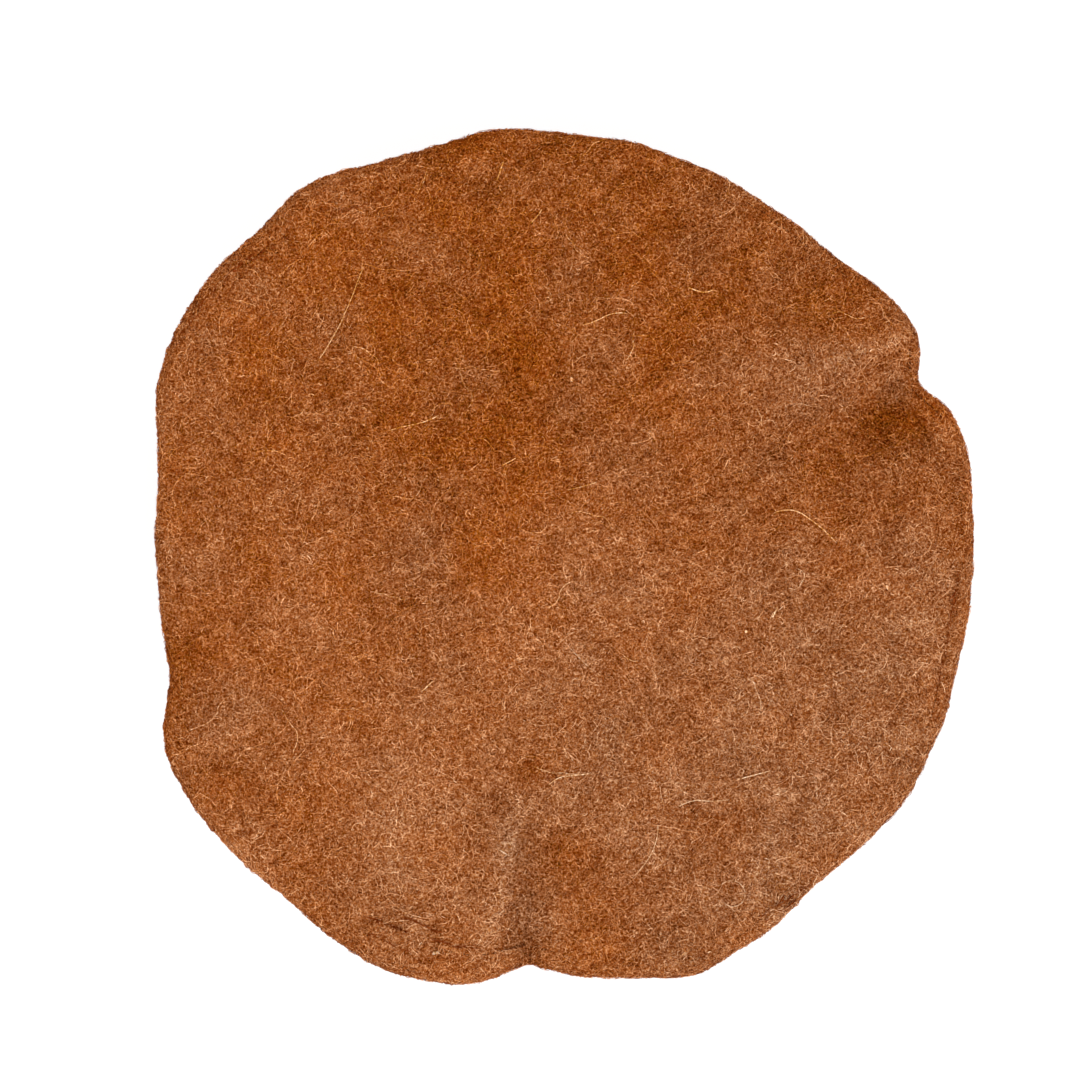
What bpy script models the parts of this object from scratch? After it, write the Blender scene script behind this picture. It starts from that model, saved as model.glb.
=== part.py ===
"""A pakol: a soft cap of felted wool, standing on its rolled brim with the crown up.

It is sewn from two pieces of felt. The crown is a nearly flat round. The side band is a tube that starts
edge to edge with the crown, makes the soft shoulder round it, tucks in over the brim and goes down inside
it, and is then rolled up on the outside, so that the brim is about two turns of the same felt.

Metres, +Z up. The origin is on the surface that the cap stands on, under the middle of its outline.
Bearings are in degrees, counter-clockwise from +X as seen from above.
"""

import math
from collections import namedtuple

import bmesh
import bpy

FELT = 0.0022
SEAM_GAP = 0.0003

CROWN_TOP = 0.075
SEAM_HEIGHT = 0.0672
SEAM_TILT = 0.0030
LOW_BEARING = 95.0
DOME_POWER = 2.2
SHOULDER_DROP = 0.0090
SHOULDER_SQUARENESS = 2.6
SHOULDER_START = 6.0

HEAD_HALF_WIDTH = 0.0860
HEAD_HALF_LENGTH = 0.0930
HEAD_SHIFT = -0.0040

BRIM_HALF_THICKNESS = 0.0105
BRIM_HALF_HEIGHT = 0.0205
BRIM_SQUARENESS = 2.5
BRIM_LOOSENESS = 0.0008
BRIM_PITCH = FELT + BRIM_LOOSENESS
TURN_STEPS = 12
FIRST_TURN_ANGLE = 75.0
ROLLED_STEPS = 24
SHOULDER_STEPS = 3
UNDERCUT_STEPS = 4

COLUMNS = 64
CROWD_GAIN = 2.0
CROWD_SPREAD = 8.0
CROWN_RINGS = (0.0, 0.28, 0.50, 0.67, 0.80, 0.90, 0.96, 1.0)

# The outline from above: how far the cap's edge reaches at each bearing, folds left out,
# and how far inside that edge the seam runs.
Station = namedtuple("Station", "bearing reach inset")
EDGE = (
    Station(0, 0.1223, 0.0045),
    Station(14, 0.1242, 0.0040),
    Station(33, 0.1257, 0.0035),
    Station(50, 0.1207, 0.0035),
    Station(62, 0.1221, 0.0035),
    Station(75, 0.1245, 0.0035),
    Station(90, 0.1275, 0.0045),
    Station(105, 0.1303, 0.0060),
    Station(114, 0.1318, 0.0070),
    Station(125, 0.1360, 0.0070),
    Station(133, 0.1349, 0.0065),
    Station(147, 0.1356, 0.0065),
    Station(156, 0.1332, 0.0060),
    Station(166, 0.1255, 0.0050),
    Station(180, 0.1223, 0.0040),
    Station(191, 0.1228, 0.0040),
    Station(199, 0.1282, 0.0045),
    Station(208, 0.1333, 0.0050),
    Station(220, 0.1326, 0.0060),
    Station(230, 0.1318, 0.0080),
    Station(243, 0.1346, 0.0115),
    Station(254, 0.1326, 0.0105),
    Station(265, 0.1297, 0.0070),
    Station(271, 0.1271, 0.0060),
    Station(277, 0.1271, 0.0050),
    Station(288, 0.1299, 0.0045),
    Station(300, 0.1266, 0.0050),
    Station(309, 0.1233, 0.0055),
    Station(328, 0.1249, 0.0050),
    Station(342, 0.1226, 0.0050),
)

# Valleys that run in from the edge. lean turns one away from the middle of the crown, width is how far its walls
# spread, softness is near 0 for a sharp bottom and large for a round one, length is how far in it runs, and
# notch is how far it pulls the edge in.
Fold = namedtuple("Fold", "bearing lean depth width softness length notch notch_width")
FOLDS = (
    Fold(26.0, -5.0, 0.0055, 0.0075, 1.0, 0.050, 0.0060, 0.0068),
    Fold(26.0, -5.0, 0.0035, 0.0070, 3.0, 0.095, 0.0, 0.0068),
    Fold(264.8, 12.0, 0.0050, 0.0040, 0.6, 0.065, 0.0064, 0.0090),
    Fold(197.5, 0.0, 0.0028, 0.0052, 3.0, 0.032, 0.0030, 0.0070),
    Fold(114.0, -32.0, 0.0026, 0.0087, 3.0, 0.090, 0.0008, 0.0120),
    Fold(233.0, 0.0, 0.0012, 0.0035, 3.0, 0.022, 0.0003, 0.0060),
)


def bell(distance, width):
    """1 at no distance, falling off smoothly on both sides."""
    return math.exp(-0.5 * (distance / width) ** 2)


def valley(distance, width, softness):
    """1 along the bottom of a valley, falling off on both sides."""
    return math.exp(softness - softness * math.hypot(1.0, distance / (softness * width)))


def angle_between(first, second):
    """The turn from the second bearing to the first, from -180 to 180 degrees."""
    return (first - second + 180.0) % 360.0 - 180.0


def edge_value(bearing, column):
    """A column of EDGE at any bearing, along a smooth closed curve through its rows."""
    count = len(EDGE)
    bearing %= 360.0
    after = next((i for i, row in enumerate(EDGE) if row.bearing > bearing), count)
    rows = [EDGE[(after + k) % count] for k in (-2, -1, 0, 1)]
    places = [bearing + angle_between(row.bearing, bearing) for row in rows]
    values = [getattr(row, column) for row in rows]
    span = places[2] - places[1]
    share = (bearing - places[1]) / span
    slope_in = (values[2] - values[0]) / (places[2] - places[0]) * span
    slope_out = (values[3] - values[1]) / (places[3] - places[1]) * span
    rise = values[2] - values[1]
    return (
        values[1]
        + slope_in * share
        + (3 * rise - 2 * slope_in - slope_out) * share**2
        + (slope_in + slope_out - 2 * rise) * share**3
    )


def edge_reach(bearing):
    """How far the cap's outermost edge is from the origin, seen from above."""
    reach = edge_value(bearing, "reach")
    for fold in FOLDS:
        aside = math.radians(angle_between(bearing, fold.bearing)) * reach
        reach -= fold.notch * bell(aside, fold.notch_width)
    return reach


def seam_reach(bearing):
    return edge_reach(bearing) - edge_value(bearing, "inset")


def seam_height(bearing):
    """The felt's top at the seam, lowest on the side that the crown leans to, before the folds sink it."""
    return SEAM_HEIGHT - SEAM_TILT * math.cos(math.radians(bearing - LOW_BEARING))


def fold_sink(x, y):
    """How far the folds sink the felt at a point seen from above."""
    sink = 0.0
    for fold in FOLDS:
        edge = edge_reach(fold.bearing)
        start = math.radians(fold.bearing)
        inward = math.radians(fold.bearing + 180.0 + fold.lean)
        from_edge_x = x - edge * math.cos(start)
        from_edge_y = y - edge * math.sin(start)
        along = from_edge_x * math.cos(inward) + from_edge_y * math.sin(inward)
        aside = from_edge_y * math.cos(inward) - from_edge_x * math.sin(inward)
        left = min(1.0, max(0.0, 1.0 - along / fold.length))
        sink += fold.depth * valley(aside, fold.width, fold.softness) * left * left * (3 - 2 * left)
    return sink


def crown_point(bearing, share):
    """A point of the crown's top face, at a share of the way from its middle to the seam."""
    reach = share * (seam_reach(bearing) - SEAM_GAP / 2)
    x = reach * math.cos(math.radians(bearing))
    y = reach * math.sin(math.radians(bearing))
    rise = CROWN_TOP - seam_height(bearing)
    return x, y, CROWN_TOP - rise * share**DOME_POWER - fold_sink(x, y)


def head_reach(bearing):
    """How far the brim's inner wall is from the origin: an oval head opening, a little off the middle."""
    across = math.cos(math.radians(bearing))
    along = math.sin(math.radians(bearing))
    oval = 1.0 / math.hypot(across / HEAD_HALF_WIDTH, along / HEAD_HALF_LENGTH)
    return oval + HEAD_SHIFT * across


def brim_spiral(bearing, step):
    """A point (reach, height) of the rolled part, on the face that shows, at a step along its turns."""
    angle = FIRST_TURN_ANGLE + step * 360.0 / TURN_STEPS
    shrink = BRIM_PITCH * (angle - 180.0) / 360.0
    across = math.cos(math.radians(angle))
    up = math.sin(math.radians(angle))
    power = 2.0 / BRIM_SQUARENESS
    half_thickness = BRIM_HALF_THICKNESS - shrink
    half_height = BRIM_HALF_HEIGHT - shrink
    reach = head_reach(bearing) + BRIM_HALF_THICKNESS
    reach += half_thickness * math.copysign(abs(across) ** power, across)
    height = BRIM_HALF_HEIGHT - BRIM_PITCH / 2 + half_height * math.copysign(abs(up) ** power, up)
    return reach, max(0.0, height)


def band_section(bearing):
    """The band's inner face as (reach, height) from the seam to the free edge in the roll."""
    seam = seam_reach(bearing) + SEAM_GAP / 2
    edge = edge_reach(bearing)
    x = edge * math.cos(math.radians(bearing))
    y = edge * math.sin(math.radians(bearing))
    top = seam_height(bearing) - fold_sink(x, y)
    widest = top - SHOULDER_DROP
    power = 2.0 / SHOULDER_SQUARENESS
    start = math.radians(SHOULDER_START)
    points = []
    for step in range(SHOULDER_STEPS):
        turn = start + (math.pi / 2 - start) * step / SHOULDER_STEPS
        out = (math.sin(turn) ** power - math.sin(start) ** power) / (1.0 - math.sin(start) ** power)
        down = (math.cos(turn) / math.cos(start)) ** power
        points.append((seam + (edge - FELT - seam) * out, widest + (top - FELT - widest) * down))
    tuck_reach, tuck_height = brim_spiral(bearing, 0)
    for step in range(UNDERCUT_STEPS):
        turn = math.radians(90.0 * step / UNDERCUT_STEPS)
        reach = tuck_reach + (edge - FELT - tuck_reach) * math.cos(turn)
        points.append((reach, widest - (widest - tuck_height) * math.sin(turn)))
    points += [brim_spiral(bearing, step) for step in range(ROLLED_STEPS + 1)]
    return points


def column_bearings():
    """The bearings of the sections, closer together where a fold bends the edge."""

    def crowding(bearing):
        near = (bell(angle_between(bearing, f.bearing), CROWD_SPREAD) for f in FOLDS if f.notch > 0.002)
        return 1.0 + CROWD_GAIN * sum(near)

    weights = [crowding(degree + 0.5) for degree in range(360)]
    share = sum(weights) / COLUMNS
    bearings, passed = [], 0.0
    for degree, weight in enumerate(weights):
        while len(bearings) * share < passed + weight:
            bearings.append(degree + (len(bearings) * share - passed) / weight)
        passed += weight
    return bearings[:COLUMNS]


def felt_sheet(name, rows, place, material):
    """A ring or round of felt: a grid of COLUMNS by rows, put in place, welded and given its thickness."""
    mesh = bpy.data.meshes.new(name)
    grid = bmesh.new()
    bmesh.ops.create_grid(grid, x_segments=COLUMNS, y_segments=rows, size=1.0)
    for vertex in grid.verts:
        column = round((vertex.co.x + 1) / 2 * COLUMNS) % COLUMNS
        row = round((vertex.co.y + 1) / 2 * rows)
        vertex.co = place(column, row)
    bmesh.ops.remove_doubles(grid, verts=grid.verts, dist=1e-6)
    grid.to_mesh(mesh)
    grid.free()
    mesh.materials.append(material)
    sheet = bpy.data.objects.new(name, mesh)
    solid = sheet.modifiers.new("felt", "SOLIDIFY")
    solid.thickness = FELT
    solid.offset = -1.0
    solid.use_even_offset = True
    mesh.shade_smooth()
    return sheet


def crown(material):
    """The round of felt on top."""
    bearings = column_bearings()
    rings = [[crown_point(bearing, share) for bearing in bearings] for share in CROWN_RINGS]
    last = len(rings) - 1
    return felt_sheet("crown", last, lambda column, row: rings[last - row][column], material)


def side_band(material):
    """The tube of felt round the crown, rolled up into the brim."""
    sections = []
    for bearing in column_bearings():
        across, along = math.cos(math.radians(bearing)), math.sin(math.radians(bearing))
        sections.append([(reach * across, reach * along, height) for reach, height in band_section(bearing)])
    last = len(sections[0]) - 1
    return felt_sheet("side_band", last, lambda column, row: sections[column][row], material)


def wool_felt():
    """Felted wool in a reddish walnut brown."""
    material = bpy.data.materials.new("wool_felt")
    material.use_nodes = True
    shader = material.node_tree.nodes["Principled BSDF"]
    shader.inputs["Base Color"].default_value = (0.33, 0.10, 0.027, 1.0)
    shader.inputs["Roughness"].default_value = 0.95
    shader.inputs["Metallic"].default_value = 0.0
    return material


def middle_of(sheet):
    """The middle of an object's outline from above."""
    xs = [vertex.co.x for vertex in sheet.data.vertices]
    ys = [vertex.co.y for vertex in sheet.data.vertices]
    return (min(xs) + max(xs)) / 2, (min(ys) + max(ys)) / 2


def main():
    for old in list(bpy.data.objects):
        bpy.data.objects.remove(old)
    collection = bpy.data.collections.new("pakol")
    bpy.context.scene.collection.children.link(collection)
    felt = wool_felt()
    sheets = (crown(felt), side_band(felt))
    middle_x, middle_y = middle_of(sheets[1])
    for sheet in sheets:
        collection.objects.link(sheet)
        for vertex in sheet.data.vertices:
            vertex.co.x -= middle_x
            vertex.co.y -= middle_y
    print(f"the outline's middle was at {middle_x * 1000:.2f}, {middle_y * 1000:.2f} mm")


main()
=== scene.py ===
"""The looks of a pakol: a soft cap of felted wool on its rolled brim, seen from straight above.

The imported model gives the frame. Finer skins of the same shape replace its two solids, and thousands of
short, curly wool hairs lie on them. Metres, +Z up. Bearings are in degrees, counter-clockwise from +X.
"""

import math
from collections import namedtuple

import bpy
import numpy as np
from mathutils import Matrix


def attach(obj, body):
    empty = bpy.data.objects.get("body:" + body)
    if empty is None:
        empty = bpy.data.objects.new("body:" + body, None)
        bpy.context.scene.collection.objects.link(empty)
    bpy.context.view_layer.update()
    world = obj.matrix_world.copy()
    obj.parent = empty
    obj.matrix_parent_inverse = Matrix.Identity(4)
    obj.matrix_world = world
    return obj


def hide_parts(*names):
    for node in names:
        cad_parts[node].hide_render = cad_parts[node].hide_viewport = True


bl_info = {
    "name": "Pakol",
    "version": (1, 0, 0),
    "blender": (4, 5, 0),
    "location": "3D View > Sidebar > Pakol",
    "description": "Builds a felted wool cap with a rolled brim",
    "category": "Add Mesh",
}

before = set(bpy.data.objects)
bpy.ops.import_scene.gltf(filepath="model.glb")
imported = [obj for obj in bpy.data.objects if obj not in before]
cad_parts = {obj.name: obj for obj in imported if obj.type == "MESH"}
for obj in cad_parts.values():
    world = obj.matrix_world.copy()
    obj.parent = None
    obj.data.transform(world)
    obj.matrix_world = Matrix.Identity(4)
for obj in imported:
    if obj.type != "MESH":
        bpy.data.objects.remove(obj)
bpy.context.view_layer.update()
BODY = "root"

# Sizes that the solids have too.
FELT = 0.0022
CROWN_TOP = 0.075
SEAM_HEIGHT = 0.0672
SEAM_TILT = 0.0030
LOW_BEARING = 95.0
DOME_POWER = 2.2
SHOULDER_DROP = 0.0090
SHOULDER_SQUARENESS = 2.6
SHOULDER_START = 6.0
HEAD_HALF_WIDTH = 0.0860
HEAD_HALF_LENGTH = 0.0930
HEAD_SHIFT = -0.0040
BRIM_HALF_THICKNESS = 0.0105
BRIM_HALF_HEIGHT = 0.0205
BRIM_SQUARENESS = 2.5
BRIM_PITCH = 0.0030
FIRST_TURN_ANGLE = 75.0
BRIM_TURNS = 2
BRIM_REACH = 0.110

# How finely the skins are cut, over how many rows their relief fades, and how wide the slit at the seam is.
CROWN_COLUMNS = 240
CROWN_ROWS = 37
BAND_COLUMNS = 288
SHOULDER_ROWS = 16
BRIM_ROWS = 57
SKIN_COLUMNS = 720
SKIN_ROWS = 120
TOP_FADE_ROWS = 3
BRIM_FADE_ROWS = 4
SHOULDER_FADE_ROWS = 6
RIM_BUMP_ROWS = 2
TUCK_ROWS = 2
SEAM_SLIT = 0.00006

# The stage, in metres and degrees.
KEY_BEARING = -62.0
KEY_HEIGHT = 47.0
KEY_DISTANCE = 4.0
KEY_SIZE = 2.2
FRAME_WIDTH = 0.3262
FRAME_MIDDLE = (-0.00735, 0.0048)
EDGE_LEVEL = 0.056
SENSOR_WIDTH = 36.0
FLOOR_HALF_WIDTH = 4.0
FLOOR_DROP = 0.0002
FLOOR_GREY = 0.35

# The outline from above: how far the cap's edge reaches at each bearing, folds left out,
# and how far inside that edge the seam runs.
Station = namedtuple("Station", "bearing reach inset")
EDGE = (
    Station(0, 0.1223, 0.0045),
    Station(14, 0.1242, 0.0040),
    Station(33, 0.1257, 0.0035),
    Station(50, 0.1207, 0.0035),
    Station(62, 0.1221, 0.0035),
    Station(75, 0.1245, 0.0035),
    Station(90, 0.1275, 0.0045),
    Station(105, 0.1303, 0.0060),
    Station(114, 0.1318, 0.0070),
    Station(125, 0.1360, 0.0070),
    Station(133, 0.1349, 0.0065),
    Station(147, 0.1356, 0.0065),
    Station(156, 0.1332, 0.0060),
    Station(166, 0.1255, 0.0050),
    Station(180, 0.1223, 0.0040),
    Station(191, 0.1228, 0.0040),
    Station(199, 0.1282, 0.0045),
    Station(208, 0.1333, 0.0050),
    Station(220, 0.1326, 0.0060),
    Station(230, 0.1318, 0.0080),
    Station(243, 0.1346, 0.0115),
    Station(254, 0.1326, 0.0105),
    Station(265, 0.1297, 0.0070),
    Station(271, 0.1271, 0.0060),
    Station(277, 0.1271, 0.0050),
    Station(288, 0.1299, 0.0045),
    Station(300, 0.1266, 0.0050),
    Station(309, 0.1233, 0.0055),
    Station(328, 0.1249, 0.0050),
    Station(342, 0.1226, 0.0050),
)

# Valleys that run in from the edge. lean turns one away from the middle of the crown, width is how far its
# walls spread, softness is near 0 for a sharp bottom and large for a round one, length is how far in it runs,
# and notch is how far it pulls the edge in.
Fold = namedtuple("Fold", "bearing lean depth width softness length notch notch_width")
FOLDS = (
    Fold(26.0, -5.0, 0.0055, 0.0075, 1.0, 0.050, 0.0060, 0.0068),
    Fold(26.0, -5.0, 0.0035, 0.0070, 3.0, 0.095, 0.0, 0.0068),
    Fold(264.8, 12.0, 0.0050, 0.0040, 0.6, 0.065, 0.0064, 0.0090),
    Fold(197.5, 0.0, 0.0028, 0.0052, 3.0, 0.032, 0.0030, 0.0070),
    Fold(114.0, -32.0, 0.0026, 0.0087, 3.0, 0.090, 0.0008, 0.0120),
    Fold(233.0, 0.0, 0.0012, 0.0035, 3.0, 0.022, 0.0003, 0.0060),
)

# Fine straight creases in the felt: where each starts and ends, how deep it is and how wide.
Crease = namedtuple("Crease", "start_x start_y end_x end_y depth width")
CREASES = (
    Crease(-0.0592, -0.1074, -0.0466, -0.1116, 0.00040, 0.0005),
    Crease(-0.0472, -0.1074, -0.0371, -0.1119, 0.00040, 0.0005),
    Crease(-0.0401, -0.1137, -0.0327, -0.1158, 0.00040, 0.0005),
    Crease(-0.0327, -0.1158, -0.0237, -0.1167, 0.00020, 0.0005),
    Crease(-0.0580, -0.1120, -0.0440, -0.1180, 0.00012, 0.0006),
    Crease(0.0587, -0.1062, 0.0737, -0.0972, 0.00022, 0.0005),
    Crease(0.0600, -0.1085, 0.0736, -0.0995, 0.00015, 0.0005),
    Crease(0.1172, -0.0072, 0.1097, -0.0492, 0.00015, 0.0006),
    Crease(-0.1175, 0.0660, -0.0990, 0.0862, 0.00012, 0.0008),
    Crease(-0.0990, 0.0862, -0.0824, 0.0966, 0.00020, 0.0007),
    Crease(-0.0700, 0.1025, -0.0450, 0.1130, 0.00012, 0.0007),
)
# Their ends run out over this length, the wool is painted darker, as shade in the crease, by this much for
# each metre of depth, and this many dark hairs, as painted shade along the crease, lie in each square metre
# of length by depth. They start up to this share before the crease does.
CREASE_ENDS = 0.002
CREASE_SHADE = 700.0
CREASE_SHADE_HAIRS = 7.0e6
CREASE_LEAD = 0.1

# Patches where the wool is lighter, warmer or greyer than the rest: partly the wool's own tone, partly
# painted light, that is painted shade and painted highlights at the folds and creases, painted shade over the
# upper part and a painted sheen that greys the lower right. Each is longest along its bearing.
Patch = namedtuple("Patch", "x y bearing length width light warmth")
PAINTED_LIGHT_AND_TONE_PATCHES = (
    Patch(-0.06, 0.09, 0.0, 0.045, 0.045, 0.03, 0.3),
    Patch(-0.02, 0.095, 0.0, 0.045, 0.035, -0.08, 0.45),
    Patch(0.05, 0.1, 0.0, 0.03, 0.02, 0.00, -0.1),
    Patch(0.000, 0.124, 0.0, 0.03, 0.006, -0.08, 0.3),
    Patch(0.065, 0.085, -35.0, 0.04, 0.02, -0.08, 0.3),
    Patch(0.012, 0.055, 90.0, 0.025, 0.02, -0.02, 0.3),
    Patch(0.036, 0.052, 90.0, 0.017, 0.01, -0.13, 0.15),
    Patch(0.0751, 0.071, 0.0, 0.009, 0.007, -0.15, 0.1),
    Patch(-0.033, 0.068, 0.0, 0.013, 0.008, -0.11, 0.15),
    Patch(-0.0526, 0.0855, 0.0, 0.009, 0.007, -0.1, 0.1),
    Patch(-0.028, 0.032, 0.0, 0.018, 0.018, -0.24, 0.45),
    Patch(-0.004, 0.005, 0.0, 0.02, 0.018, 0.06, 0.6),
    Patch(-0.025, -0.011, 0.0, 0.008, 0.007, -0.1, 0.2),
    Patch(0.035, 0.01, 0.0, 0.025, 0.018, 0.03, 0.00),
    Patch(0.095, 0.009, 0.0, 0.012, 0.007, -0.08, 0.2),
    Patch(0.053, 0.021, 90.0, 0.008, 0.006, -0.13, 0.1),
    Patch(-0.074, -0.018, 0.0, 0.011, 0.011, -0.06, 0.5),
    Patch(-0.07, 0.05, 90.0, 0.03, 0.02, 0.05, 0.05),
    Patch(-0.07, -0.05, 90.0, 0.045, 0.03, 0.09, 0.1),
    Patch(0.03, -0.03, 0.0, 0.04, 0.04, 0.05, -0.1),
    Patch(0.065, -0.06, 0.0, 0.045, 0.045, -0.02, -0.5),
    Patch(0.05, -0.095, 0.0, 0.03, 0.02, 0.01, -0.4),
    Patch(0.026, -0.118, 0.0, 0.02, 0.008, -0.02, -0.4),
    # Of the next two, the second is painted shade along a crease.
    Patch(0.0665, -0.1035, 32.0, 0.009, 0.004, 0.06, -0.5),
    Patch(0.0735, -0.094, 32.0, 0.006, 0.003, -0.1, 0.00),
    Patch(0.095, -0.035, 90.0, 0.035, 0.02, 0.03, -0.4),
    Patch(0.012, -0.1, 0.0, 0.016, 0.022, -0.03, 0.2),
    Patch(-0.03, -0.095, 0.0, 0.025, 0.022, 0.04, -0.4),
    Patch(-0.105, 0.015, 90.0, 0.04, 0.02, -0.03, 0.5),
    Patch(-0.117, -0.031, 90.0, 0.01, 0.008, -0.12, 0.8),
    Patch(-0.098, -0.078, -45.0, 0.015, 0.008, 0.00, 0.5),
    Patch(-0.0915, -0.0905, -40.0, 0.012, 0.006, 0.1, -0.1),
    # The next ten paint the light at the right fold: painted shade on its walls, a painted highlight along
    # its ridge and a painted lighter rim beside its notch.
    Patch(0.078, 0.056, 16.0, 0.022, 0.009, 0.08, -0.6),
    Patch(0.094, 0.063, 20.0, 0.01, 0.0014, 0.35, -0.5),
    Patch(0.0997, 0.0515, 47.0, 0.006, 0.0042, -0.14, -1.10),
    Patch(0.0975, 0.0412, 21.0, 0.008, 0.0042, -0.34, 0.8),
    Patch(0.102, 0.0478, 0.0, 0.003, 0.003, 0.12, -0.3),
    Patch(0.0945, 0.0318, 10.0, 0.006, 0.003, -0.22, 0.5),
    Patch(0.104, 0.0375, 0.0, 0.003, 0.003, -0.15, 0.6),
    Patch(0.1127, 0.043, -62.0, 0.009, 0.0035, 0.22, 0.9),
    Patch(0.083, 0.034, 0.0, 0.006, 0.006, 0.03, -0.6),
    Patch(0.075, 0.017, 0.0, 0.016, 0.016, -0.15, 0.15),
    # The next seven paint the light at the bottom fold: painted shade down its valley and painted highlights
    # on its lit wall.
    Patch(-0.0131, -0.1077, 97.0, 0.014, 0.0026, -0.22, -0.75),
    Patch(-0.0119, -0.1182, 97.0, 0.004, 0.004, -0.18, 0.00),
    Patch(-0.017, -0.0792, 100.0, 0.012, 0.004, 0.00, -0.5),
    Patch(-0.0185, -0.0741, 0.0, 0.0022, 0.0022, -0.3, 0.00),
    Patch(-0.0113, -0.0627, 0.0, 0.0022, 0.0022, -0.25, 0.00),
    Patch(-0.023, -0.11, 73.0, 0.011, 0.0018, 0.18, -0.1),
    Patch(-0.0182, -0.0948, 79.0, 0.01, 0.0022, 0.2, -0.2),
    Patch(0.0008, -0.0903, 0.0, 0.006, 0.006, -0.2, 0.7),
    Patch(0.0047, -0.1122, 90.0, 0.014, 0.008, -0.02, 0.5),
)
# They start at this height on the cap's side and have their full strength this much higher.
PATCH_FLOOR = 0.040
PATCH_FADE = 0.010

# Random fields, each a sum of waves: how strong, and the waves' number and shortest and longest length.
Field = namedtuple("Field", "strength seed count shortest longest")
WOOL_LIGHT = (
    Field(0.100, 24, 50, 0.0015, 0.0050),
    Field(0.045, 21, 40, 0.006, 0.016),
    Field(0.035, 22, 30, 0.025, 0.070),
)
WOOL_WARMTH = Field(0.24, 23, 30, 0.012, 0.040)
LUMPS = Field(1.0, 11, 40, 0.0035, 0.0090)
SWELLS = Field(1.0, 12, 24, 0.018, 0.050)
RIM_BUMPS = Field(1.0, 13, 40, 0.0030, 0.0070)

# The felt's texture: the size of the bed's grain, how far apart the coarse and the fine threads on it are and
# how thick they look, how much they hide the bed, and the depth of its bump.
BED_GRAIN = 0.0008
COARSE_THREADS = 0.0024
COARSE_THINNESS = 0.045
FINE_THREADS = 0.0017
FINE_THINNESS = 0.060
THREAD_COVER = 0.7
BUMP_DEPTH = 0.0004

# How big and strong the wool's fine grain is, its plain tint, what warmth and light (the wool's tone with its
# painted shade and highlights) add to that tint, its least tint and light, and how much it shines.
GRAIN_SIZE = 0.0007
GRAIN_STRENGTH = 2.5
PLAIN_TINT = (0.985, 0.965, 0.94)
WARM_TINT = (0.0, -0.18, -0.52)
LIGHT_TINT = (0.0, 0.74, 1.85)
LEAST_TINT = (1.0, 0.64, 0.12)
LEAST_LIGHT = 0.1
SHINE = 0.01

# The bearing that the wool lies along, how many degrees that wanders, a hair's wavering as a share of its
# bend, how many degrees it is turned about its length, and its least and most width as shares of its layer's.
LIE_BEARING = 35.0
LIE_WANDER = Field(30.0, 41, 20, 0.025, 0.060)
WAVER_SHARE = 0.25
ROLL_SPREAD = 35.0
THINNEST_SHARE = 0.6
THICKEST_SHARE = 1.3

# Long pale hairs on the crown, laid flat: where each starts, which way it sets off, how long it is, and how
# far it turns in its first and second half.
StrayHair = namedtuple("StrayHair", "x y heading length bend_first bend_last")
STRAY_HAIRS = (
    StrayHair(-0.0602, 0.0876, 252.0, 0.0330, -4.0, -14.0),
    StrayHair(0.0050, 0.0690, 8.0, 0.0145, 20.0, -35.0),
    StrayHair(-0.0104, 0.0996, 46.0, 0.0060, 0.0, 20.0),
    StrayHair(-0.0206, 0.1128, 62.0, 0.0065, 10.0, 0.0),
    StrayHair(0.0365, 0.0804, -25.0, 0.0085, 10.0, 45.0),
    StrayHair(-0.0524, 0.0372, 20.0, 0.0160, -10.0, 20.0),
    StrayHair(-0.0188, 0.0270, 30.0, 0.0050, 0.0, 0.0),
    StrayHair(0.0004, 0.0198, 12.0, 0.0095, 0.0, 10.0),
    StrayHair(-0.0056, -0.0153, 5.0, 0.0130, 75.0, -75.0),
    StrayHair(0.0614, 0.0126, 35.0, 0.0230, -70.0, -10.0),
    StrayHair(0.0614, -0.0180, 60.0, 0.0035, 0.0, 0.0),
    StrayHair(-0.0425, -0.0399, 42.0, 0.0045, 0.0, 0.0),
    StrayHair(-0.0005, -0.0249, -50.0, 0.0130, 5.0, 0.0),
    StrayHair(0.0172, -0.0294, -30.0, 0.0050, 0.0, 50.0),
    StrayHair(-0.0050, -0.0681, 60.0, 0.0140, -55.0, 5.0),
    StrayHair(-0.0200, -0.0870, -30.0, 0.0045, 0.0, 0.0),
    StrayHair(0.0196, -0.0957, 40.0, 0.0190, 20.0, 30.0),
    StrayHair(0.0457, -0.0978, 62.0, 0.0200, -130.0, -160.0),
    StrayHair(0.0331, -0.0744, 45.0, 0.0165, -50.0, 10.0),
    StrayHair(0.0502, -0.0663, 14.0, 0.0115, 0.0, 0.0),
)

# Tan specks and a bit of white fluff, as short broad hairs.
SPECKS = (
    StrayHair(0.0022, 0.0520, 100.0, 0.0014, 10.0, 10.0),
    StrayHair(0.0918, 0.0618, 20.0, 0.0013, 20.0, 20.0),
    StrayHair(0.0965, -0.0100, 80.0, 0.0018, 40.0, 20.0),
    StrayHair(0.0540, -0.0226, 130.0, 0.0012, 0.0, 10.0),
)
FLUFF = (StrayHair(-0.0372, -0.1176, 150.0, 0.0022, 30.0, 30.0),)

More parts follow.
